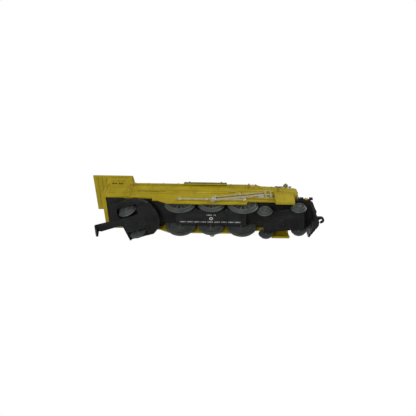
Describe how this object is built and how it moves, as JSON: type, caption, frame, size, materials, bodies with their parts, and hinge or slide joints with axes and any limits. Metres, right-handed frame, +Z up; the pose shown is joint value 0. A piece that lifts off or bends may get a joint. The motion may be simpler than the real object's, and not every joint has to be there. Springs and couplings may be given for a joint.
{
  "type": "model steam locomotive",
  "caption": "Small die-cast model steam locomotive with free-turning drivers and two swivelling trucks, a hook in front and a drawbar behind.",
  "frame": {"origin": "on the rail-top plane, on the centre plane, under the middle driving axle", "axes": "+X towards the front of the locomotive, +Y towards its left side, +Z up"},
  "size_m": [0.1247, 0.0275, 0.0358],
  "materials": {
    "yellow_enamel": "semi-gloss",
    "olive_enamel": "satin",
    "silver_enamel": "metallic",
    "bronze_enamel": "metallic",
    "black_plastic": "satin",
    "wheel_plastic": "satin",
    "plated_steel": "turned"
  },
  "bodies": {
    "locomotive": {"body_casting": "yellow_enamel", "dome_casing": "olive_enamel", "steam_dome": "yellow_enamel", "chimney": "yellow_enamel", "smokebox_front": "yellow_enamel", "headlight": "silver_enamel", "marker_lamps": "olive_enamel", "bell": "silver_enamel", "safety_valves": "plated_steel", "right_handrail": "yellow_enamel", "left_handrail": "yellow_enamel", "right_smokebox_rail": "black_plastic", "left_smokebox_rail": "black_plastic", "right_side_rod": "silver_enamel", "left_side_rod": "silver_enamel", "right_main_rod": "silver_enamel", "left_main_rod": "silver_enamel", "right_valve_gear": "silver_enamel", "left_valve_gear": "silver_enamel", "chassis_frame": "black_plastic", "keeper_plate": "black_plastic", "chassis_screws": "plated_steel", "pilot": "black_plastic", "front_coupler_hook": "black_plastic", "deck_steps": "yellow_enamel", "deck_lamps": "bronze_enamel", "pilot_truck_pivot": "plated_steel", "trailing_truck_pivot": "plated_steel"},
    "rear_drivers": {"rear_driver_axle": "plated_steel", "rear_driver_right_wheel": "wheel_plastic", "rear_driver_left_wheel": "wheel_plastic"},
    "middle_drivers": {"middle_driver_axle": "plated_steel", "middle_driver_right_wheel": "wheel_plastic", "middle_driver_left_wheel": "wheel_plastic"},
    "front_drivers": {"front_driver_axle": "plated_steel", "front_driver_right_wheel": "wheel_plastic", "front_driver_left_wheel": "wheel_plastic"},
    "pilot_truck": {"pilot_truck_frame": "black_plastic"},
    "pilot_rear_wheelset": {"pilot_rear_axle": "plated_steel", "pilot_rear_right_wheel": "wheel_plastic", "pilot_rear_left_wheel": "wheel_plastic"},
    "pilot_front_wheelset": {"pilot_front_axle": "plated_steel", "pilot_front_right_wheel": "wheel_plastic", "pilot_front_left_wheel": "wheel_plastic"},
    "trailing_truck": {"trailing_truck_frame": "black_plastic", "drawbar": "black_plastic"},
    "trailing_wheelset": {"trailing_axle": "plated_steel", "trailing_right_wheel": "wheel_plastic", "trailing_left_wheel": "wheel_plastic"}
  },
  "joints": [
    {"name": "rear_drivers_spin", "type": "hinge", "parent": "locomotive", "child": "rear_drivers", "pos_m": [-0.0162, 0, 0.00807], "axis": [0, 1, 0], "continuous": true},
    {"name": "middle_drivers_spin", "type": "hinge", "parent": "locomotive", "child": "middle_drivers", "pos_m": [0, 0, 0.00807], "axis": [0, 1, 0], "continuous": true},
    {"name": "front_drivers_spin", "type": "hinge", "parent": "locomotive", "child": "front_drivers", "pos_m": [0.0162, 0, 0.00807], "axis": [0, 1, 0], "continuous": true},
    {"name": "pilot_truck_swivel", "type": "hinge", "parent": "locomotive", "child": "pilot_truck", "pos_m": [0.0367, 0, 0.008], "axis": [0, 0, 1], "range_deg": [-1, 16]},
    {"name": "pilot_rear_wheels_spin", "type": "hinge", "parent": "pilot_truck", "child": "pilot_rear_wheelset", "pos_m": [0.02822, 0.00112, 0.004], "axis": [0.1305, 0.9914, 0], "continuous": true},
    {"name": "pilot_front_wheels_spin", "type": "hinge", "parent": "pilot_truck", "child": "pilot_front_wheelset", "pos_m": [0.04518, -0.00112, 0.004], "axis": [0.1305, 0.9914, 0], "continuous": true},
    {"name": "trailing_truck_swivel", "type": "hinge", "parent": "locomotive", "child": "trailing_truck", "pos_m": [-0.034, 0, 0.008], "axis": [0, 0, 1], "range_deg": [-4, 40]},
    {"name": "trailing_wheels_spin", "type": "hinge", "parent": "trailing_truck", "child": "trailing_wheelset", "pos_m": [-0.04075, 0.00219, 0.00475], "axis": [0.309, 0.9511, 0], "continuous": true}
  ]
}
